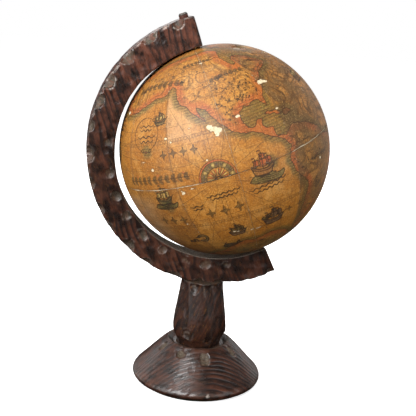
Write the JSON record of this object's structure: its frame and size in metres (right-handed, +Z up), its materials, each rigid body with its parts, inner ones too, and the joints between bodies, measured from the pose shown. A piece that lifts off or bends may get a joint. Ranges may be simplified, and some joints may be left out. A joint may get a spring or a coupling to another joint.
{
  "type": "desktop globe",
  "caption": "Papered desktop globe turning on a tilted axis in a carved dark wooden half-meridian, on a barrel post and conical foot.",
  "frame": {"origin": "centre of the felt pad's underside, on the surface that the globe stands on", "axes": "+Z up the post, the carved arc in the XZ plane with its closed back towards -X, the ball's axis leaning towards -X at the top"},
  "size_m": [0.1728, 0.15, 0.2686],
  "materials": {
    "stained_wood": "satin dark stain over relief grain",
    "plain_wood": "bare",
    "steel": "dull, darkened",
    "brass": "aged",
    "felt": "wool felt",
    "pasteboard": "matte",
    "plaster": "matte",
    "varnished_paper": "amber varnish, semi-gloss"
  },
  "bodies": {
    "stand": {"base": "stained_wood", "felt_pad": "felt", "base_screw": "steel", "base_washer": "steel", "post": "stained_wood", "arc_screw": "steel", "meridian_arc": "stained_wood", "north_peg": "stained_wood", "north_pin": "steel", "south_peg": "stained_wood", "south_pin": "steel", "north_spacer": "brass", "south_spacer": "brass"},
    "ball": {"north_bushing": "brass", "south_bushing": "brass", "north_shell": "pasteboard", "south_shell": "pasteboard", "equator_band": "pasteboard", "axis_dowel": "plain_wood", "north_pole_block": "plain_wood", "south_pole_block": "plain_wood", "north_plaster": "plaster", "south_plaster": "plaster", "north_gores": "varnished_paper", "south_gores": "varnished_paper"}
  },
  "joints": [
    {"name": "ball_spin", "type": "hinge", "parent": "stand", "child": "ball", "pos_m": [0.0092, 0, 0.1745], "axis": [-0.3616, 0, 0.9323], "continuous": true}
  ]
}
